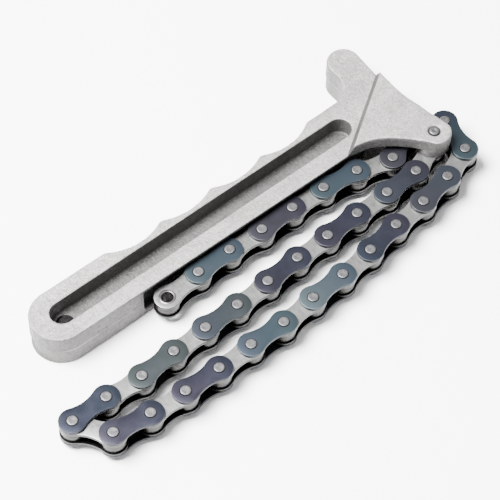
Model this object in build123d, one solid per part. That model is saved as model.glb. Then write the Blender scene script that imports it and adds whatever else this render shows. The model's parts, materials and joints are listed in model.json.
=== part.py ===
from build123d import *
import math
import os

# Chain wrench for round filters: cast handle with a forked head, one riveted
# pin and a 35-link chain folded back along the handle. Millimetres, +Z up.
# The origin is the centre of the hanging hole on the flat underside, and +X
# runs along the handle to the head.

os.makedirs("parts", exist_ok=True)

# ---- driving dimensions -------------------------------------------------
OX, OY = 6.5, -9.4          # shift from outline coordinates to the origin
HANDLE_T = 13.0             # handle thickness
HEAD_T = 16.4               # thickness over the raised ear
STEP_W = 1.7                # plan width of the sloped step
SLOT_FLOOR = 6.3            # height of the slot floor
SLOT_R = 3.95               # half width of the slot
HANG_R = 2.9                # hanging hole radius
EDGE_R = 0.7                # rounding of the top edges
GROOVE_LO = 1.6             # top of the lower flange
GROOVE_LO_END = 3.1         # top of the lower flange below the free end
GROOVE_HI = 11.9            # underside of the upper flange
GROOVE_BACK = 2.75          # back wall of the groove
GROOVE_X0 = 16.6            # closed end of the groove
BOSS_R = 5.65               # rounded tip of each ear
SPACER_R = 4.6              # raised pads that centre the first link
SPACER_SIDE_R = 5.3         # the upper pad's radius on the side away from the loop
PITCH = 12.7                # chain pitch
CHAIN_Z = 6.2               # middle plane of the chain
PIN_R = 1.75                # chain pin radius
PIN_HALF = 4.3              # half length of a chain pin
BUSH_R = 2.65               # bushing outer radius
BUSH_ID = 1.82              # bushing inner radius
ROLL_R = 3.875              # roller outer radius
ROLL_ID = 2.72              # roller inner radius
ROLL_HALF = 1.70            # half height of a roller
INNER_HALF = 2.85           # half width over the inner plates
OUTER_IN = 2.95             # half gap between the outer plates
PLATE_T = 1.05              # thickness of every link plate
LOBE_R = 4.3                # plate lobe radius
WAIST = 3.0                 # half width of the plate waist
FIT = 0.01                  # gap of pressed and riveted pieces

# Chain joints from the fork pin to the free end, in outline coordinates.
JOINTS = [
    (124.715, -11.424),
    (113.027, -16.393),
    (100.339, -16.946),
    (87.642, -17.195),
    (74.957, -17.814),
    (62.268, -18.335),
    (49.607, -19.329),
    (36.935, -20.177),
    (24.240, -20.531),
    (11.555, -21.161),
    (-1.119, -21.970),
    (-13.790, -21.115),
    (-26.486, -21.421),
    (-19.497, -32.025),
    (-6.907, -33.690),
    (5.780, -34.270),
    (18.480, -34.302),
    (31.173, -33.872),
    (43.872, -33.928),
    (56.512, -32.694),
    (69.184, -31.841),
    (81.791, -30.313),
    (94.296, -28.092),
    (106.927, -26.774),
    (119.386, -24.310),
    (131.179, -19.598),
    (133.597, -7.130),
    (122.062, -1.816),
    (110.828, -7.738),
    (98.564, -4.441),
    (85.956, -2.910),
    (73.258, -2.714),
    (60.566, -3.164),
    (47.870, -2.841),
    (35.178, -3.301),
    (22.499, -4.024),
]

FORK = JOINTS[0]


def P(x, y):
    return (x + OX, y + OY)


def place(s, z=0.0):
    return Pos(OX, OY, z) * s


def face(*edges):
    return make_face(Wire(list(edges)))


def line(*pts):
    return [Line(a, b) for a, b in zip(pts[:-1], pts[1:])]


# ---- handle casting -----------------------------------------------------
end_c, end_r = (-8.4, 9.4), 9.4
far = [
    ThreePointArc((16.0, 18.8), (26.6, 15.2), (36.7, 17.7)),
    ThreePointArc((36.7, 17.7), (46.7, 15.3), (56.7, 17.8)),
    ThreePointArc((56.7, 17.8), (66.7, 15.2), (77.0, 17.8)),
    ThreePointArc((77.0, 17.8), (87.0, 15.4), (97.2, 18.9)),
]
grip = face(
    Line((98.0, 0.0), (-8.4, 0.0)),
    ThreePointArc((-8.4, 0.0), (-17.8, 9.4), (-8.4, 18.8)),
    Line((-8.4, 18.8), (16.0, 18.8)),
    *far,
    Line((97.2, 18.9), (109.0, 19.1)),
    Spline((109.0, 19.1), (113.0, 20.3), (115.2, 22.3), (116.4, 24.4), (117.0, 26.8),
           tangents=[(1, 0.03), (0.15, 1)]),
    Line((117.0, 26.8), (117.0, 30.6)),
    ThreePointArc((117.0, 30.6), (122.7, 36.0), (128.4, 30.6)),
    Line((128.4, 30.6), (127.4, 19.0)),
    Line((127.4, 19.0), (126.95, 10.5)),
    Line((126.95, 10.5), (98.0, 10.5)),
    Line((98.0, 10.5), (98.0, 0.0)),
)
ear_plan = face(
    Spline((98.0, 0.0), (101.8, -0.55), (106.1, -1.6), (109.9, -3.5), (114.1, -6.9),
           (117.9, -10.9), (121.6, -15.9), tangents=[(1, 0), (0.62, -1)]),
    ThreePointArc((121.6, -15.9), (126.6, -16.65), (130.1, -12.6)),
    Spline((130.1, -12.6), (128.9, -5.6), (128.0, 0.1), (127.2, 4.5), (126.95, 10.5),
           tangents=[(-0.1, 1), (0, 1)]),
    Line((126.95, 10.5), (98.0, 10.5)),
    Line((98.0, 10.5), (98.0, 0.0)),
)
grip_s = extrude(grip, HANDLE_T)
grip_s = fillet(
    [e for e in grip_s.edges().filter_by(Axis.Z)
     if 20 < e.center().X < 80 and e.center().Y > 16 or abs(e.center().X - 16.0) < 0.1],
    2.2)
ear_s = extrude(ear_plan, HEAD_T)

# far side of the raised ear: a sloped step from the handle top
sa, sb = (99.2, 0.75), (127.6, 19.8)
sd = math.hypot(sb[0] - sa[0], sb[1] - sa[1])
ux, uy = (sb[0] - sa[0]) / sd, (sb[1] - sa[1]) / sd
nx, ny = -uy, ux
step_face = face(*line(
    (98.0, -2.0), (98.0, sa[1] + (98.0 - sa[0]) * uy / ux), (sb[0], sb[1]),
    (140.0, sb[1]), (140.0, -30.0), (98.0, -30.0), (98.0, -2.0)))
ear_hi = Pos(0, 0, 10.5) * extrude(
    face(
        Spline((98.0, 0.0), (101.8, -0.55), (106.1, -1.6), (109.9, -3.5), (114.1, -6.9),
               (117.9, -10.9), (121.6, -15.9), tangents=[(1, 0), (0.62, -1)]),
        ThreePointArc((121.6, -15.9), (126.6, -16.65), (130.1, -12.6)),
        Spline((130.1, -12.6), (128.9, -5.6), (128.0, 0.1), (127.2, 4.5), (126.95, 10.5),
               tangents=[(-0.1, 1), (0, 1)]),
        Line((126.95, 10.5), (127.4, 19.0)),
        Line((127.4, 19.0), (98.0, 19.0)),
        Line((98.0, 19.0), (98.0, 0.0)),
    ), HEAD_T - 10.5)
wedge_pl = Plane(origin=(sa[0] - 10 * ux, sa[1] - 10 * uy, HANDLE_T), x_dir=(-nx, -ny, 0), z_dir=(ux, uy, 0))
# profile across the step: everything above the slope is cut away
prof = [(0, 0), (STEP_W, HEAD_T - HANDLE_T), (STEP_W * 1.5, (HEAD_T - HANDLE_T) * 1.5), (STEP_W * 1.5, 12),
        (-60, 12), (-60, 0), (0, 0)]
test_pt = wedge_pl.from_local_coords((0, 1, 0))
if test_pt.Z < HANDLE_T:
    prof = [(a, -b) for a, b in prof]
wedge = extrude(wedge_pl * face(*line(*prof)), sd + 30)
ear_hi = ear_hi - wedge
ear_s = ear_s - Pos(0, 0, HANDLE_T) * extrude(
    face(*line((90, -30), (140, -30), (140, 30), (90, 30), (90, -30))), 10)
body = grip_s + ear_s + ear_hi

# groove along the near edge and the passage between the ears
groove_hi_part = extrude(face(*line(
    (30.5, -40), (30.5, GROOVE_BACK), (107.7, GROOVE_BACK), (135.0, GROOVE_BACK + 27.3 * 14 / 24),
    (150.0, 20.0), (150.0, -40), (30.5, -40))), GROOVE_HI - GROOVE_LO)
groove_end_part = extrude(face(
    Line((GROOVE_X0, -40), (GROOVE_X0, GROOVE_BACK - 2.0)),
    ThreePointArc((GROOVE_X0, GROOVE_BACK - 2.0), (GROOVE_X0 + 0.59, GROOVE_BACK - 0.59), (GROOVE_X0 + 2.0, GROOVE_BACK)),
    Line((GROOVE_X0 + 2.0, GROOVE_BACK), (30.5, GROOVE_BACK)),
    Line((30.5, GROOVE_BACK), (30.5, -40)),
    Line((30.5, -40), (GROOVE_X0, -40))), GROOVE_HI - GROOVE_LO_END)
body = body - Pos(0, 0, GROOVE_LO) * groove_hi_part - Pos(0, 0, GROOVE_LO_END) * groove_end_part

# pads round the fork pin that centre the first link
fx, fy = FORK
pad = Pos(fx, fy, 0) * Cylinder(SPACER_R, GROOVE_HI - CHAIN_Z - INNER_HALF - 0.2,
                                align=(Align.CENTER, Align.CENTER, Align.MIN))
body = body + Pos(0, 0, CHAIN_Z + INNER_HALF + 0.2) * pad
side = [(SPACER_SIDE_R * math.cos(math.radians(a)), SPACER_SIDE_R * math.sin(math.radians(a))) for a in (165, 232, 300)]
side_face = face(
    Line((0, 0), side[0]),
    ThreePointArc(side[0], side[1], side[2]),
    Line(side[2], (0, 0)))
body = body + Pos(fx, fy, CHAIN_Z + INNER_HALF + 0.2) * extrude(side_face, GROOVE_HI - CHAIN_Z - INNER_HALF - 0.2)
pad_lo = Pos(fx, fy, GROOVE_LO) * Cylinder(SPACER_R, CHAIN_Z - INNER_HALF - 0.2 - GROOVE_LO,
                                           align=(Align.CENTER, Align.CENTER, Align.MIN))
body = body + pad_lo

# hanging slot with its hole
slot = face(
    Line((-7.2, 5.35), (103.5, 6.12)),
    ThreePointArc((103.5, 6.12), (107.45, 10.07), (103.5, 14.02)),
    Line((103.5, 14.02), (-7.2, 13.25)),
    ThreePointArc((-7.2, 13.25), (-11.15, 9.3), (-7.2, 5.35)),
)
body = body - Pos(0, 0, SLOT_FLOOR) * extrude(slot, 20)
body = body - Pos(-OX, -OY, -1) * Cylinder(HANG_R, 20, align=(Align.CENTER, Align.CENTER, Align.MIN))

# rounded top edges of the grip, the lobe and the ears
def near_z(e, z, tol=0.02):
    b = e.bounding_box()
    return abs(b.min.Z - z) < tol and abs(b.max.Z - z) < tol


def soften(s, pick, r):
    es = [e for e in s.edges() if pick(e)]
    if not es:
        return s
    try:
        return fillet(es, r)
    except Exception:
        out = s
        for e in es:
            c = e.center()
            try:
                cand = [k for k in out.edges() if (k.center() - c).length < 0.05]
                out = fillet(cand[:1], r)
            except Exception:
                pass
        return out


def outer_edge(e):
    c = e.center()
    inside_slot = 5.0 < c.Y < 14.6 and -11.4 < c.X < 107.6
    return not inside_slot


body = soften(body, lambda e: near_z(e, HEAD_T) and e.length > 1.0 and
              not (e.center().X > 100 and abs((e.center().X - sa[0]) * nx + (e.center().Y - sa[1]) * ny) < 3.2), EDGE_R)
body = soften(body, lambda e: near_z(e, HANDLE_T) and outer_edge(e) and e.center().X < 97 , EDGE_R)
body = soften(body, lambda e: near_z(e, HANDLE_T) and outer_edge(e) and e.center().Y > 19.3, 0.6)
body = soften(body, lambda e: near_z(e, 0.0) and e.length > 1.0 and outer_edge(e), 0.5)

# riveted pin through both ears, countersunk at both ends
csk = 0.65
hole = Pos(fx, fy, -1) * Cylinder(PIN_R + FIT, 30, align=(Align.CENTER, Align.CENTER, Align.MIN))
cone_hi = Pos(fx, fy, HEAD_T - csk) * Cone(PIN_R + FIT, PIN_R + FIT + csk + 0.2, csk + 0.2,
                                           align=(Align.CENTER, Align.CENTER, Align.MIN))
cone_lo = Pos(fx, fy, -0.2) * Cone(PIN_R + FIT + csk + 0.2, PIN_R + FIT, csk + 0.2,
                                   align=(Align.CENTER, Align.CENTER, Align.MIN))
body = body - hole - cone_hi - cone_lo
handle = place(body)
export_step(handle, "parts/handle_casting.step")

pin_len = HEAD_T + 0.2 - 0.05
pin = Pos(fx, fy, 0.05) * Cylinder(PIN_R, pin_len, align=(Align.CENTER, Align.CENTER, Align.MIN))
pin = fillet(pin.edges().filter_by(GeomType.CIRCLE).group_by(Axis.Z)[-1], 0.35)
head_lo = Pos(fx, fy, 0.05) * Cone(PIN_R + csk - 0.06, PIN_R, csk - 0.06,
                                   align=(Align.CENTER, Align.CENTER, Align.MIN))
export_step(place(pin + head_lo), "parts/fork_pin.step")


# ---- chain --------------------------------------------------------------
def plate(hole_r):
    h = PITCH / 2
    rc = (h * h + WAIST * WAIST - LOBE_R * LOBE_R) / (2 * (LOBE_R - WAIST))
    cy = WAIST + rc
    k = LOBE_R / (LOBE_R + rc)
    tx, ty = h - h * k, cy * k
    out = face(
        ThreePointArc((tx, ty), (h + LOBE_R, 0), (tx, -ty)),
        ThreePointArc((tx, -ty), (0, -WAIST), (-tx, -ty)),
        ThreePointArc((-tx, -ty), (-h - LOBE_R, 0), (-tx, ty)),
        ThreePointArc((-tx, ty), (0, WAIST), (tx, ty)),
    )
    s = extrude(out, PLATE_T)
    s = chamfer(s.edges().group_by(Axis.Z)[-1] + s.edges().group_by(Axis.Z)[0], 0.12)
    for sx in (-h, h):
        s = s - Pos(sx, 0, -1) * Cylinder(hole_r, 4, align=(Align.CENTER, Align.CENTER, Align.MIN))
    return s


def tube(ro, ri, half):
    return Cylinder(ro, 2 * half) - Cylinder(ri, 2 * half + 2)


h = PITCH / 2
inner_plate = plate(BUSH_R + FIT)
outer_plate = plate(PIN_R + FIT)
bush = tube(BUSH_R, BUSH_ID, INNER_HALF)
roller = tube(ROLL_R, ROLL_ID, ROLL_HALF)
roller = fillet(roller.edges().filter_by(GeomType.CIRCLE).filter_by(lambda e: e.radius > 3.5), 0.3)
cpin = Cylinder(PIN_R, 2 * PIN_HALF)
cpin = fillet(cpin.edges().filter_by(GeomType.CIRCLE), 0.3)

inner_solids = [
    Pos(0, 0, INNER_HALF - PLATE_T) * inner_plate,
    Pos(0, 0, -INNER_HALF) * inner_plate,
    Pos(-h, 0, 0) * bush,
    Pos(h, 0, 0) * bush,
]
outer_solids = [
    Pos(0, 0, OUTER_IN) * outer_plate,
    Pos(0, 0, -OUTER_IN - PLATE_T) * outer_plate,
    Pos(-h, 0, 0) * cpin,
    Pos(h, 0, 0) * cpin,
]
roller_solids = [Pos(-h, 0, 0) * roller, Pos(h, 0, 0) * roller]

ni = no = 0
for k in range(len(JOINTS) - 1):
    (x0, y0), (x1, y1) = JOINTS[k], JOINTS[k + 1]
    loc = Pos((x0 + x1) / 2 + OX, (y0 + y1) / 2 + OY, CHAIN_Z) * Rot(0, 0, math.degrees(math.atan2(y1 - y0, x1 - x0)))
    if k % 2 == 0:
        ni += 1
        export_step(Compound(children=[loc * s for s in inner_solids]), f"parts/inner_link_{ni:02d}.step")
        export_step(Compound(children=[loc * s for s in roller_solids]), f"parts/rollers_{ni:02d}.step")
    else:
        no += 1
        export_step(Compound(children=[loc * s for s in outer_solids]), f"parts/outer_link_{no:02d}.step")
print("links", ni, no)
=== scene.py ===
import json
import math
import random

import bmesh
import bpy
import numpy as np
from mathutils import Matrix, Vector


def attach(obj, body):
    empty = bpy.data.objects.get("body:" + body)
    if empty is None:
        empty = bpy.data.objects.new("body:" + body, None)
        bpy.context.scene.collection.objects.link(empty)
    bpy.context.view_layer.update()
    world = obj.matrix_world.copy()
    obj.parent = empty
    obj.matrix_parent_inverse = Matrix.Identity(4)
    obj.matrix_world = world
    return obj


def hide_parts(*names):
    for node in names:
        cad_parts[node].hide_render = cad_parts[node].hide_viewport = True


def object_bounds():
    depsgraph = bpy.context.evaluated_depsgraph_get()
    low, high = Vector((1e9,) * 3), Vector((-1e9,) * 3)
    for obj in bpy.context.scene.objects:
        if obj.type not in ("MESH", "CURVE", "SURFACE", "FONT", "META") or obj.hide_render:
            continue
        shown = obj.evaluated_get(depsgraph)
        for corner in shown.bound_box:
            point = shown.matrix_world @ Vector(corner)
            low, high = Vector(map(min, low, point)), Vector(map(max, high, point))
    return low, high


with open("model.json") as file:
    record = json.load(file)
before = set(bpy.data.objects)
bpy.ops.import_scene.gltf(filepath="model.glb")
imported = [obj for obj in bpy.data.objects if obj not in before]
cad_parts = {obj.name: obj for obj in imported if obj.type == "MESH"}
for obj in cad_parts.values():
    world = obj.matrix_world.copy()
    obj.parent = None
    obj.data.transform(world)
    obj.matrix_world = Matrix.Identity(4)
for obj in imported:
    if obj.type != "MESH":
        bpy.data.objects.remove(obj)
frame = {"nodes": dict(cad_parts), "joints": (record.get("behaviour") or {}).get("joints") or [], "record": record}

cad_lo, cad_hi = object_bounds()
MM = 0.001
rnd = random.Random(11)

# ---- dimensions shared with the frame (millimetres) ----------------------
PITCH = 12.7
CHAIN_Z = 6.2
PIN_R = 1.75
PIN_HALF = 4.3
BUSH_R = 2.65
BUSH_ID = 1.82
ROLL_R = 3.875
ROLL_ID = 2.72
ROLL_HALF = 1.70
INNER_HALF = 2.85
OUTER_IN = 2.95
PLATE_T = 1.05
LOBE_R = 4.3
WAIST = 3.0
OX, OY = 6.5, -9.4

rec = frame["record"]
joints = [Vector(j["pos_m"]) for j in frame["joints"]]
free_end = [Vector(m["pos_m"]) for m in rec["mounts"] if m["name"] == "free_end_bushing"][0]
J = joints + [free_end]


# ---- material helpers ----------------------------------------------------
def new_mat(name):
    m = bpy.data.materials.new(name)
    m.use_nodes = True
    nt = m.node_tree
    for n in list(nt.nodes):
        nt.nodes.remove(n)
    out = nt.nodes.new("ShaderNodeOutputMaterial")
    b = nt.nodes.new("ShaderNodeBsdfPrincipled")
    nt.links.new(b.outputs[0], out.inputs[0])
    return m, nt, b


def node(nt, kind, **kw):
    n = nt.nodes.new(kind)
    for k, v in kw.items():
        setattr(n, k, v)
    return n


def noise_tex(nt, vec, scale, detail=4.0, rough=0.55, dist=0.0):
    n = node(nt, "ShaderNodeTexNoise")
    n.inputs["Scale"].default_value = scale
    n.inputs["Detail"].default_value = detail
    n.inputs["Roughness"].default_value = rough
    n.inputs["Distortion"].default_value = dist
    nt.links.new(vec, n.inputs["Vector"])
    return n.outputs[0]


def ramp(nt, fac, stops):
    r = node(nt, "ShaderNodeValToRGB")
    els = r.color_ramp.elements
    while len(els) < len(stops):
        els.new(0.5)
    for e, (p, c) in zip(els, stops):
        e.position = p
        e.color = (c[0], c[1], c[2], 1)
    nt.links.new(fac, r.inputs[0])
    return r.outputs[0]


def maprange(nt, v, a, b, c, d):
    m = node(nt, "ShaderNodeMapRange")
    for i, x in zip((1, 2, 3, 4), (a, b, c, d)):
        m.inputs[i].default_value = x
    nt.links.new(v, m.inputs[0])
    return m.outputs[0]


def mix(nt, fac, a, b, mode="MIX"):
    m = node(nt, "ShaderNodeMix", data_type="RGBA", blend_type=mode)
    for sock, val in ((m.inputs[0], fac), (m.inputs[6], a), (m.inputs[7], b)):
        if isinstance(val, (int, float)):
            sock.default_value = val
        elif isinstance(val, tuple):
            sock.default_value = (val[0], val[1], val[2], 1)
        else:
            nt.links.new(val, sock)
    return m.outputs[2]


def math_node(nt, op, a, b=None, clamp=False):
    m = node(nt, "ShaderNodeMath", operation=op)
    m.use_clamp = clamp
    for sock, val in zip(m.inputs, (a, b)):
        if val is None:
            continue
        if isinstance(val, (int, float)):
            sock.default_value = val
        else:
            nt.links.new(val, sock)
    return m.outputs[0]


def bump(nt, b, height, strength, distance, normal=None):
    n = node(nt, "ShaderNodeBump")
    n.inputs["Strength"].default_value = strength
    n.inputs["Distance"].default_value = distance
    nt.links.new(height, n.inputs["Height"])
    if normal is not None:
        nt.links.new(normal, n.inputs["Normal"])
    nt.links.new(n.outputs[0], b.inputs["Normal"])
    return n.outputs[0]


def obj_coord(nt):
    return node(nt, "ShaderNodeTexCoord").outputs["Object"]


def stretch(nt, vec, sx, sy, sz, rot=0.0):
    m = node(nt, "ShaderNodeMapping")
    m.inputs["Scale"].default_value = (sx, sy, sz)
    m.inputs["Rotation"].default_value = (0, 0, rot)
    nt.links.new(vec, m.inputs["Vector"])
    return m.outputs[0]


# ---- materials -----------------------------------------------------------
def shade_attr(nt, base):
    """Multiplies a colour by the shade painted on the mesh."""
    at = node(nt, "ShaderNodeVertexColor", layer_name="shade")
    return mix(nt, 1.0, base, at.outputs["Color"], "MULTIPLY")


def cast_material():
    m, nt, b = new_mat("cast_alloy")
    c = obj_coord(nt)
    fine = noise_tex(nt, c, 2100, 3, 0.65)
    mid = noise_tex(nt, c, 760, 5, 0.70)
    big = noise_tex(nt, c, 85, 5, 0.6, 0.5)
    flow = noise_tex(nt, stretch(nt, c, 34, 170, 90), 1.0, 5, 0.6, 0.8)
    base = ramp(nt, big, [(0.30, (0.140, 0.135, 0.131)), (0.70, (0.200, 0.194, 0.188))])
    base = mix(nt, maprange(nt, flow, 0.44, 0.66, 0.0, 0.45), base, (0.280, 0.272, 0.266))
    base = mix(nt, maprange(nt, mid, 0.47, 0.66, 0.0, 0.62), base, (0.090, 0.086, 0.083))
    base = mix(nt, maprange(nt, fine, 0.50, 0.66, 0.0, 0.50), base, (0.36, 0.35, 0.342))
    base = shade_attr(nt, base)
    nt.links.new(base, b.inputs["Base Color"])
    b.inputs["Metallic"].default_value = 0.45
    nt.links.new(maprange(nt, mid, 0.3, 0.7, 0.42, 0.58), b.inputs["Roughness"])
    b.inputs["Specular IOR Level"].default_value = 0.35
    h = math_node(nt, "ADD", math_node(nt, "MULTIPLY", fine, 0.6), mid)
    h = math_node(nt, "ADD", h, math_node(nt, "MULTIPLY", big, 0.8))
    bump(nt, b, h, 0.90, 0.00030)
    return m


def painted_pin_shadow_material():
    """Near-black painted shadow ring where a pin stands in its plate."""
    m, nt, b = new_mat("pin_painted_shadow")
    n = noise_tex(nt, obj_coord(nt), 900, 3)
    nt.links.new(ramp(nt, n, [(0.3, (0.004, 0.004, 0.005)), (0.7, (0.010, 0.010, 0.012))]), b.inputs["Base Color"])
    b.inputs["Roughness"].default_value = 0.6
    b.inputs["Specular IOR Level"].default_value = 0.1
    return m


def steel_material(name, lo, hi, rough_lo, rough_hi, scale=(400, 400, 60), grime=0.3):
    m, nt, b = new_mat(name)
    c = obj_coord(nt)
    br = noise_tex(nt, stretch(nt, c, *scale), 6.0, 4, 0.6)
    sp = noise_tex(nt, c, 800, 4, 0.6, 0.3)
    base = ramp(nt, br, [(0.30, lo), (0.72, hi)])
    base = mix(nt, maprange(nt, sp, 0.52, 0.76, 0.0, grime), base, tuple(x * 0.40 for x in lo))
    base = shade_attr(nt, base)
    nt.links.new(base, b.inputs["Base Color"])
    b.inputs["Metallic"].default_value = 0.9
    nt.links.new(maprange(nt, sp, 0.3, 0.7, rough_lo, rough_hi), b.inputs["Roughness"])
    bump(nt, b, math_node(nt, "ADD", br, math_node(nt, "MULTIPLY", sp, 0.5)), 0.35, 0.00003)
    return m


def blued_material():
    m, nt, b = new_mat("blued_steel")
    c = obj_coord(nt)
    at = node(nt, "ShaderNodeVertexColor", layer_name="tint")
    cloud = noise_tex(nt, c, 170, 4, 0.55, 0.5)
    sp = noise_tex(nt, c, 1500, 3, 0.6)
    scr = noise_tex(nt, stretch(nt, c, 90, 900, 300, 0.6), 2.0, 5, 0.7)
    base = mix(nt, maprange(nt, cloud, 0.40, 0.72, 0.0, 0.45), at.outputs["Color"], (0.018, 0.018, 0.028))
    base = mix(nt, maprange(nt, scr, 0.62, 0.80, 0.0, 0.22), base, (0.10, 0.11, 0.13))
    base = mix(nt, maprange(nt, sp, 0.60, 0.85, 0.0, 0.22), base, (0.06, 0.065, 0.075))
    base = shade_attr(nt, base)
    nt.links.new(base, b.inputs["Base Color"])
    b.inputs["Metallic"].default_value = 0.80
    nt.links.new(maprange(nt, cloud, 0.3, 0.7, 0.28, 0.38), b.inputs["Roughness"])
    bump(nt, b, math_node(nt, "ADD", sp, scr), 0.25, 0.00002)
    return m


def rim_material():
    m, nt, b = new_mat("plate_rim")
    c = obj_coord(nt)
    at = node(nt, "ShaderNodeVertexColor", layer_name="tint")
    cloud = noise_tex(nt, c, 500, 4, 0.6)
    base = mix(nt, maprange(nt, cloud, 0.3, 0.7, 0.10, 0.40), at.outputs["Color"], (0.05, 0.053, 0.058))
    base = shade_attr(nt, base)
    nt.links.new(base, b.inputs["Base Color"])
    b.inputs["Metallic"].default_value = 0.8
    nt.links.new(maprange(nt, cloud, 0.3, 0.7, 0.38, 0.52), b.inputs["Roughness"])
    bump(nt, b, cloud, 0.25, 0.00003)
    return m


MAT_CAST = cast_material()
MAT_PAINTED_PIN_SHADOW = painted_pin_shadow_material()
MAT_BLUED = blued_material()
MAT_RIM = rim_material()
MAT_PIN = steel_material("pin_end", (0.045, 0.045, 0.048), (0.120, 0.118, 0.122), 0.42, 0.58, (340, 340, 340), 0.75)
MAT_INNER = steel_material("inner_plate", (0.145, 0.144, 0.142), (0.225, 0.223, 0.220), 0.30, 0.45, (500, 60, 300), 0.40)
MAT_BUSH = steel_material("bushing", (0.060, 0.058, 0.056), (0.120, 0.117, 0.114), 0.28, 0.42, (60, 60, 700), 0.25)
MAT_ROLL = steel_material("roller", (0.008, 0.0075, 0.007), (0.042, 0.040, 0.038), 0.22, 0.36, (60, 60, 900), 0.35)


# ---- mesh helpers --------------------------------------------------------
def finish_mesh(bm, name, mats, body, replaced, loc=None, tint=None, smooth_deg=32, dark=None):
    """bm is in millimetres, round the piece's own centre; loc places it in the row frame."""
    bmesh.ops.recalc_face_normals(bm, faces=bm.faces)
    me = bpy.data.meshes.new(name)
    if tint is not None:
        lay = bm.loops.layers.float_color.new("tint")
        (c0, c1) = tint
        for f in bm.faces:
            for lp in f.loops:
                t = min(1.0, max(0.0, lp.vert.co.x / (PITCH + 2 * LOBE_R) + 0.5))
                lp[lay] = (*[c0[i] * (1 - t) + c1[i] * t for i in range(3)], 1.0)
    # the shade attribute holds painted shade inside the chain and low on it, and a painted highlight on the inner
    # plates' top bevel, from the function passed in
    sh = bm.loops.layers.float_color.new("shade")
    for f in bm.faces:
        cz, nz = f.calc_center_median().z, f.normal.z
        for lp in f.loops:
            v = dark(lp.vert.co.x, lp.vert.co.y, lp.vert.co.z, cz, nz) if dark else 1.0
            lp[sh] = (v, v, v, 1.0)
    mtx = Matrix.Scale(MM, 4)
    if loc is not None:
        mtx = loc @ mtx
    bm.transform(mtx)
    bm.to_mesh(me)
    bm.free()
    for m in mats:
        me.materials.append(m)
    me.set_sharp_from_angle(angle=math.radians(smooth_deg))
    ob = bpy.data.objects.new(name, me)
    bpy.context.scene.collection.objects.link(ob)
    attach(ob, body)
    if replaced:
        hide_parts(*replaced)
    return ob


def outline(inset, n_lobe=26, n_waist=10):
    """Figure-eight outline of a link plate, counter-clockwise, moved inwards by inset."""
    h = PITCH / 2
    rc = (h * h + WAIST * WAIST - LOBE_R * LOBE_R) / (2 * (LOBE_R - WAIST))
    cy = WAIST + rc
    a = math.atan2(cy, h)            # direction of the tangent point from the lobe centre, mirrored
    pts = []
    r = LOBE_R - inset
    q = rc + inset
    t0 = math.pi - a
    for i in range(n_lobe + 1):      # right lobe, from below to above
        t = -t0 + 2 * t0 * i / n_lobe
        pts.append((h + r * math.cos(t), r * math.sin(t)))
    w0 = math.atan2(-cy, h)
    for i in range(1, n_waist):      # upper waist, right to left
        t = w0 + (-math.pi - 2 * w0) * i / n_waist
        pts.append((q * math.cos(t), cy + q * math.sin(t)))
    left = [(-x, -y) for x, y in pts]
    return pts + left


def ring(bm, pts, z):
    return [bm.verts.new((x, y, z)) for x, y in pts]


def loop_edges(bm, vs):
    es = []
    for a, b in zip(vs, vs[1:] + vs[:1]):
        e = bm.edges.get((a, b)) or bm.edges.new((a, b))
        es.append(e)
    return es


def bridge(bm, a, b, mat=0, smooth=True):
    fs = []
    n = len(a)
    for i in range(n):
        f = bm.faces.new((a[i], a[(i + 1) % n], b[(i + 1) % n], b[i]))
        f.material_index = mat
        f.smooth = smooth
        fs.append(f)
    return fs


def circle(cx, cy, r, n=40):
    return [(cx + r * math.cos(2 * math.pi * i / n), cy + r * math.sin(2 * math.pi * i / n)) for i in range(n)]


def add_plate(bm, z0, z1, hole_r, mat_face, mat_rim, roll=0.16, up=True, mat_pin_shadow=0):
    """A punched plate: rounded edge on its outer face, sharper on the other, with two holes."""
    top, bot = (z1, z0) if up else (z0, z1)
    s = 1 if up else -1
    rows = []
    rows.append((0.10, bot))
    rows.append((0.0, bot + s * 0.10))
    k = 5
    for i in range(k + 1):
        t = i / k * math.pi / 2
        rows.append((roll * (1 - math.cos(t)), top - s * roll * (1 - math.sin(t))))
    rings = [ring(bm, outline(i), z) for i, z in rows]
    for i, (a, b) in enumerate(zip(rings, rings[1:])):
        bridge(bm, a, b, mat_rim)
    # both faces are filled flat round the hole countersinks
    for first, z, is_top in ((rings[-1], top, True), (rings[0], bot, False)):
        ed = loop_edges(bm, first)
        sgn = s if is_top else -s
        for cx in (-PITCH / 2, PITCH / 2):
            # with a painted-shadow material given, the outer face's countersink is made wider and deeper and takes
            # that material as a painted shadow ring round the pin
            o = ring(bm, circle(cx, 0, hole_r + (0.17 if mat_pin_shadow and is_top else 0.10)), z)
            i_ = ring(bm, circle(cx, 0, hole_r), z - sgn * (0.20 if mat_pin_shadow and is_top else 0.10))
            bridge(bm, o, i_, mat_pin_shadow if is_top else mat_face)
            ed += loop_edges(bm, o)
            if is_top:
                inner_top = i_ if cx < 0 else inner_top
                if cx < 0:
                    tops = [i_]
                else:
                    tops.append(i_)
            else:
                if cx < 0:
                    bots = [i_]
                else:
                    bots.append(i_)
        res = bmesh.ops.triangle_fill(bm, use_beauty=True, use_dissolve=False, edges=ed)
        for g in res["geom"]:
            if isinstance(g, bmesh.types.BMFace):
                g.material_index = mat_face
                g.smooth = True
    for a, b in zip(tops, bots):
        bridge(bm, a, b, mat_face)


def lathe(bm, profile, cx=0.0, cy=0.0, n=40, mat=0, closed=False):
    """Revolves (radius, z) points round a vertical axis; ends at radius 0 are capped with a fan."""
    rings = []
    for r, z in profile:
        if r < 1e-6:
            rings.append([bm.verts.new((cx, cy, z))])
        else:
            rings.append(ring(bm, circle(cx, cy, r, n), z))
    pairs = list(zip(rings, rings[1:]))
    if closed:
        pairs.append((rings[-1], rings[0]))
    for a, b in pairs:
        if len(a) == 1 and len(b) == 1:
            continue
        if len(a) == 1 or len(b) == 1:
            c, o = (a[0], b) if len(a) == 1 else (b[0], a)
            for i in range(len(o)):
                f = bm.faces.new((c, o[i], o[(i + 1) % len(o)]))
                f.material_index = mat
                f.smooth = True
        else:
            bridge(bm, a, b, mat)


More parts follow.
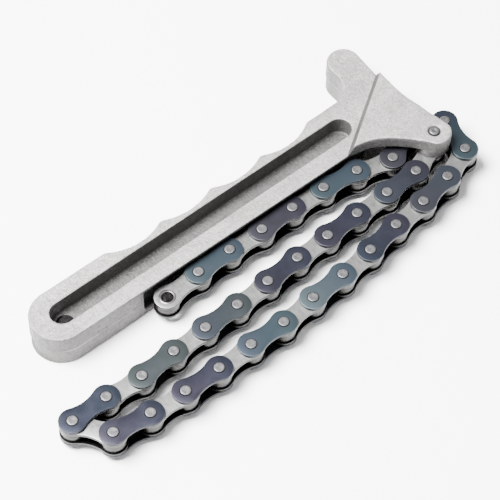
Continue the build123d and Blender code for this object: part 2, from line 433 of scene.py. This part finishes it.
# ---- chain ---------------------------------------------------------------
# Heat tints of the outer plates, first to last from the fork, as two end colours.
TEAL = (0.028, 0.044, 0.050)
STEELB = (0.029, 0.040, 0.054)
SLATE = (0.025, 0.031, 0.040)
PURP = (0.021, 0.019, 0.029)
PGREY = (0.028, 0.028, 0.034)
INDIGO = (0.014, 0.016, 0.026)
DPURP = (0.019, 0.018, 0.026)
GREENS = (0.027, 0.034, 0.034)
LTEAL = (0.060, 0.080, 0.088)
BLUE = (0.014, 0.019, 0.028)
TINTS = [
    (DPURP, SLATE),      # link 2, pins 9-10
    (INDIGO, PURP),      # 11-12
    (INDIGO, DPURP),     # 13-14
    (GREENS, SLATE),     # 15-16
    (GREENS, GREENS),    # 17-18
    (BLUE, INDIGO),      # 19-20
    (PURP, INDIGO),      # 21-22
    (PURP, INDIGO),      # 23-24
    (STEELB, TEAL),      # 25-26
    (LTEAL, STEELB),     # 27-28
    (BLUE, PURP),        # 29-30
    (PGREY, SLATE),      # 31-32
    (TEAL, BLUE),        # 33-34
    (DPURP, PGREY),      # 8-7
    (STEELB, TEAL),      # 6-5
    (PURP, PGREY),       # 4-3
    (STEELB, TEAL),      # 2-1
]


def link_place(k):
    a, b = J[k], J[k + 1]
    ang = math.atan2(b.y - a.y, b.x - a.x)
    mid = (a + b) / 2
    return Matrix.Translation((mid.x, mid.y, CHAIN_Z * MM)) @ Matrix.Rotation(ang, 4, "Z")


def pin_profile(lo, hi):
    """A riveted pin: both ends flat with a rounded shoulder."""
    out = []
    for s, z in ((-1, lo), (1, hi)):
        end = [
            (0.0, z - s * 0.045), (0.45, z - s * 0.04), (0.95, z - s * 0.01), (1.35, z),
            (1.52, z - s * 0.025), (1.64, z - s * 0.08), (1.72, z - s * 0.17), (1.75, z - s * 0.30),
        ]
        out += end if s < 0 else end[::-1]
    return out


# painted shade for an outer link: darker on the lower plate, on the pin sides above the top plate, under the top
# plate, on the pins between the plates and on the plate edges
def outer_painted_shade(x, y, z, cz, nz):
    if z < -0.5:
        return 0.55 if nz < -0.5 else 0.30
    if cz > OUTER_IN + PLATE_T and abs(nz) < 0.5:
        return 0.25
    if cz < OUTER_IN + 0.2 and z < OUTER_IN + 0.2:
        return 0.25
    if abs(nz) < 0.35 and cz < OUTER_IN + PLATE_T:
        return 0.40
    return 1.0


# painted shade for an inner link: darker in the bushing bores, on the lower plate, under the upper plate and on the
# upper plate's edge; a painted highlight (1.3) lifts the upper plate's top bevel
def inner_painted_shade_and_highlight(x, y, z, cz, nz):
    bore = min(math.hypot(x - PITCH / 2, y), math.hypot(x + PITCH / 2, y)) < BUSH_ID + 0.05
    if bore:
        return 0.10
    if z < -0.5:
        return 0.60 if nz < -0.5 else (0.06 if nz < 0.5 else 0.03)
    if z < INNER_HALF - PLATE_T + 0.12:
        return 0.12 if nz < -0.5 else 0.30
    if abs(nz) < 0.3:
        return 0.075
    return 1.3 if nz < 0.97 else 1.0


# painted shade: each roller is painted darker towards its bottom
def roller_painted_shade(x, y, z, cz, nz):
    return 0.45 + 0.45 * max(0.0, min(1.0, (z + ROLL_HALF) / (2 * ROLL_HALF)))


def outer_link(k, idx):
    bm = bmesh.new()
    add_plate(bm, OUTER_IN, OUTER_IN + PLATE_T, PIN_R, 0, 1, up=True, mat_pin_shadow=3)
    add_plate(bm, -OUTER_IN - PLATE_T, -OUTER_IN, PIN_R, 0, 1, up=False, mat_pin_shadow=3)
    for cx in (-PITCH / 2, PITCH / 2):
        lathe(bm, pin_profile(-PIN_HALF, PIN_HALF), cx, 0, 40, 2)
    return finish_mesh(bm, f"outer_{idx:02d}", [MAT_BLUED, MAT_RIM, MAT_PIN, MAT_PAINTED_PIN_SHADOW], f"link {k + 1:02d}",
                       [f"outer_link_{idx:02d}"], link_place(k), TINTS[idx - 1], 40, outer_painted_shade)


def inner_link(k, idx):
    bm = bmesh.new()
    add_plate(bm, INNER_HALF - PLATE_T, INNER_HALF, BUSH_R, 0, 0, 0.22, True)
    add_plate(bm, -INNER_HALF, -INNER_HALF + PLATE_T, BUSH_R, 0, 0, 0.22, False)
    for cx in (-PITCH / 2, PITCH / 2):
        lathe(bm, [
            (BUSH_ID, -INNER_HALF + 0.22), (BUSH_ID + 0.18, -INNER_HALF + 0.03), (BUSH_ID + 0.3, -INNER_HALF),
            (BUSH_R - 0.16, -INNER_HALF), (BUSH_R, -INNER_HALF + 0.12),
            (BUSH_R, INNER_HALF - 0.12), (BUSH_R - 0.16, INNER_HALF), (BUSH_ID + 0.3, INNER_HALF),
            (BUSH_ID + 0.18, INNER_HALF - 0.03), (BUSH_ID, INNER_HALF - 0.22),
        ], cx, 0, 40, 1, closed=True)
    return finish_mesh(bm, f"inner_{idx:02d}", [MAT_INNER, MAT_BUSH], f"link {k + 1:02d}",
                       [f"inner_link_{idx:02d}"], link_place(k), None, 40, inner_painted_shade_and_highlight)


def rollers(k, idx):
    bm = bmesh.new()
    z = ROLL_HALF
    for cx in (-PITCH / 2, PITCH / 2):
        lathe(bm, [
            (ROLL_ID, -z + 0.05), (ROLL_ID + 0.1, -z), (ROLL_R - 0.36, -z), (ROLL_R - 0.16, -z + 0.05), (ROLL_R - 0.04, -z + 0.18),
            (ROLL_R, -z + 0.36), (ROLL_R, z - 0.36), (ROLL_R - 0.04, z - 0.18), (ROLL_R - 0.16, z - 0.05),
            (ROLL_R - 0.36, z), (ROLL_ID + 0.1, z), (ROLL_ID, z - 0.05),
        ], cx, 0, 44, 0, closed=True)
    return finish_mesh(bm, f"rollers_pair_{idx:02d}", [MAT_ROLL], f"link {k + 1:02d}",
                       [f"rollers_{idx:02d}"], link_place(k), None, 40, roller_painted_shade)


ni = no = 0
for k in range(len(J) - 1):
    if k % 2 == 0:
        ni += 1
        inner_link(k, ni)
        rollers(k, ni)
    else:
        no += 1
        outer_link(k, no)

# ---- handle casting ------------------------------------------------------
cad = frame["nodes"]["handle_casting"]
work = bpy.data.objects.new("handle_work", cad.data.copy())
bpy.context.scene.collection.objects.link(work)
VOX = 0.30
rm = work.modifiers.new("re", "REMESH")
rm.mode = "VOXEL"
rm.voxel_size = VOX * MM
rm.adaptivity = 0.0
sm = work.modifiers.new("sm", "SMOOTH")
sm.factor = 0.5
sm.iterations = 2
bpy.context.view_layer.update()
me = bpy.data.meshes.new_from_object(work.evaluated_get(bpy.context.evaluated_depsgraph_get()))
bpy.data.objects.remove(work)
me.name = "handle_body"

n = len(me.vertices)
co = np.zeros(n * 3)
me.vertices.foreach_get("co", co)
co = co.reshape(-1, 3)
nr = np.zeros(n * 3, np.float32)
me.vertex_normals.foreach_get("vector", nr)
nr = nr.reshape(-1, 3).astype(float)
p = co / MM
x, y, z = p[:, 0] - OX, p[:, 1] - OY, p[:, 2]


def GROOVE_Y(x):
    """How far back the groove and the passage between the ears reach, by x."""
    return np.where(x < 107.7, 3.0, 3.0 + (x - 107.7) * 14 / 24)


def wave(p, seed, f):
    """Smooth seeded unevenness from a few crossing sine waves."""
    g = np.random.default_rng(seed)
    out = np.zeros(len(p))
    for _ in range(9):
        k = g.normal(size=3)
        k = k / np.linalg.norm(k) * f * g.uniform(0.6, 1.5)
        out += np.sin(p @ k + g.uniform(0, 6.28))
    return out / 3.0


push = 0.035 * wave(p, 3, 0.55) + 0.018 * wave(p, 4, 1.9)
# the two mould halves: the lower half stands in slightly below the parting line
wall = np.clip(1.0 - np.abs(nr[:, 2]) * 1.6, 0, 1)
inslot = (y > 4.6) & (y < 15.0) & (x > -12.0) & (x < 108.4) & (z > 5.6)
ingroove = (y < 4.2) & (x > 15.6) & (z > 1.2) & (z < 12.2) & (y > -1.0) & (x < 118)
part_z = 6.5
low = np.clip((part_z + 0.18 - z) / 0.36, 0, 1)
outer = wall * (~inslot) * (~ingroove)
end = np.clip((22.0 - x) / 14.0, 0, 1)
slip = nr[:, 0] * 0.75 - nr[:, 1] * 0.25      # the halves did not meet exactly at the grip's end
push += outer * low * (slip * end - 0.12 * (1 - end))
push += outer * np.exp(-((z - part_z - 0.1) / 0.30) ** 2) * 0.12
# ejector pin marks: shallow round dents with a raised ring on the flat top
MARKS = ((-6.9, 15.9, 1.25), (-6.6, 3.1, 1.25), (111.5, 14.5, 1.5), (122.6, 31.0, 1.6))
for ex, ey, er in MARKS:
    d = np.hypot(x - ex, y - ey)
    top = (nr[:, 2] > 0.8) & (np.abs(z - 13.0) < 0.6)
    push += top * (-0.10 * np.clip((er - d) / 0.35, 0, 1) + 0.05 * np.exp(-((d - er - 0.15) / 0.22) ** 2))
q = co + nr * (push * MM)[:, None]
lo = np.array(cad_lo)
hi = np.array(cad_hi)
q = np.clip(q, lo, hi)
me.vertices.foreach_set("co", q.ravel())
me.materials.clear()
me.materials.append(MAT_CAST)
# painted shade: faces that do not face up are painted darker than the flat top, and the handle's cavities darker
# still below
up_face = np.clip((nr[:, 2] - 0.55) / 0.3, 0, 1)
side = 1.0 - up_face
grain = wave(p, 8, 0.45)
shade = 1.0 - 0.50 * side
# painted highlight along the parting line, painted shade just below it
shade += outer * side * (0.85 * np.exp(-((z - part_z) / 0.26) ** 2) - 0.14 * np.exp(-((z - part_z + 0.60) / 0.30) ** 2)) * np.clip(0.75 + 0.45 * grain, 0.1, 1.5)
# painted shade on the slot's walls
slot_wall = np.clip(1.2 - np.abs(nr[:, 2]) * 1.5, 0, 1) * inslot * (z > 6.5) * np.clip((13.2 - z) / 0.5, 0, 1)
shade -= 0.06 * slot_wall
# painted shade on the slot's floor
slot_floor = inslot * (z < 9.0) * up_face
shade -= 0.72 * slot_floor
# painted shade in the groove and the passage between the ears, except on the boss round the fork pin
boss = np.hypot(x - 124.71, y + 11.42) < 5.6
deep = (z > 1.7) & (z < 11.8) & (y < GROOVE_Y(x)) & (x > 16.8) & ~boss
shade = np.where(deep, shade * 0.16, shade)
# painted shade on the sloped step faces of the raised ear
step = (np.abs(nr[:, 2]) > 0.25) & (nr[:, 2] < 0.9) & (z > 13.3) & (z < 16.1)
shade = np.where(step, shade * 0.50, shade)
# painted shade, near black, inside the hanging hole
bore = (np.hypot(x + 6.5, y - 9.4) < 3.1) & (z < 6.2)
shade = np.where(bore, shade * 0.02, shade)
for ex, ey, er in MARKS:
    d = np.hypot(x - ex, y - ey)
    shade -= (nr[:, 2] > 0.8) * (z > 12) * (0.16 * np.exp(-((d - er) / 0.22) ** 2) - 0.05 * (d < er))
shade = np.clip(shade, 0.012, 1.6)
ca = me.color_attributes.new("shade", "FLOAT_COLOR", "POINT")
ca.data.foreach_set("color", np.c_[shade, shade, shade, np.ones(n)].astype(np.float32).ravel())
me.shade_smooth()
me.update()
handle = bpy.data.objects.new("handle_body", me)
bpy.context.scene.collection.objects.link(handle)
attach(handle, "handle")
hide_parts("handle_casting")

# ---- fork pin ------------------------------------------------------------
bm = bmesh.new()
top = 16.6
lathe(bm, [
    (0.0, 0.05), (2.2, 0.05), (2.34, 0.10), (1.75, 0.70), (1.75, top - 0.5), (1.72, top - 0.30), (1.60, top - 0.14),
    (1.35, top - 0.04), (1.05, top), (0.70, top - 0.02), (0.50, top - 0.09), (0.0, top - 0.13),
], 0, 0, 48, 0)
finish_mesh(bm, "fork_pin_body", [MAT_PIN], "handle", ["fork_pin"],
            Matrix.Translation((J[0].x, J[0].y, 0)), None, 40)

# ---- floor, lights, camera ----------------------------------------------
bm = bmesh.new()
bmesh.ops.create_grid(bm, x_segments=2, y_segments=2, size=3.0)
fm = bpy.data.meshes.new("floor")
bm.to_mesh(fm)
bm.free()
floor = bpy.data.objects.new("floor", fm)
floor.location = (0.06, 0, -0.00002)
bpy.context.scene.collection.objects.link(floor)
m, nt, b = new_mat("floor_white")
b.inputs["Base Color"].default_value = (0.93, 0.93, 0.93, 1)
b.inputs["Roughness"].default_value = 0.8
b.inputs["Specular IOR Level"].default_value = 0.1
fm.materials.append(m)

world = bpy.data.worlds.new("studio")
bpy.context.scene.world = world
world.use_nodes = True
bg = world.node_tree.nodes["Background"]
bg.inputs[0].default_value = (1, 1, 1, 1)
bg.inputs[1].default_value = 0.9

# camera axes in the row frame
cam_loc = Vector((-188.7213, -314.3619, 570.0239)) * MM
fwd = Vector((0.36394876, 0.43755843, -0.82224322))
right = Vector((0.77474985, -0.63223465, 0.00648183))
up = right.cross(fwd)
cam_data = bpy.data.cameras.new("cam")
cam = bpy.data.objects.new("cam", cam_data)
bpy.context.scene.collection.objects.link(cam)
cam_data.sensor_width = 36
cam_data.lens = 2200 / 500 * 36
cam_data.clip_start = 0.05
cam_data.clip_end = 20
rot = Matrix((right, up, -fwd)).transposed()
cam.matrix_world = Matrix.Translation(cam_loc) @ rot.to_4x4()
bpy.context.scene.camera = cam

centre = Vector((0.065, -0.012, 0.0))
flat_r = Vector((right.x, right.y, 0)).normalized()
flat_f = Vector((fwd.x, fwd.y, 0)).normalized()


def area(name, where, size, power, target=centre):
    d = bpy.data.lights.new(name, "AREA")
    d.shape = "RECTANGLE"
    d.size, d.size_y = size
    d.energy = power
    o = bpy.data.objects.new(name, d)
    o.location = where
    o.rotation_mode = "QUATERNION"
    o.rotation_quaternion = (Vector(target) - Vector(where)).to_track_quat("-Z", "Y")
    bpy.context.scene.collection.objects.link(o)
    return o


area("overhead", centre - flat_r * 0.42 - flat_f * 0.06 + Vector((0, 0, 0.95)), (0.5, 0.5), 110.0)
area("side", centre - flat_r * 0.75 + flat_f * 0.45 + Vector((0, 0, 0.5)), (0.25, 0.25), 3.0)
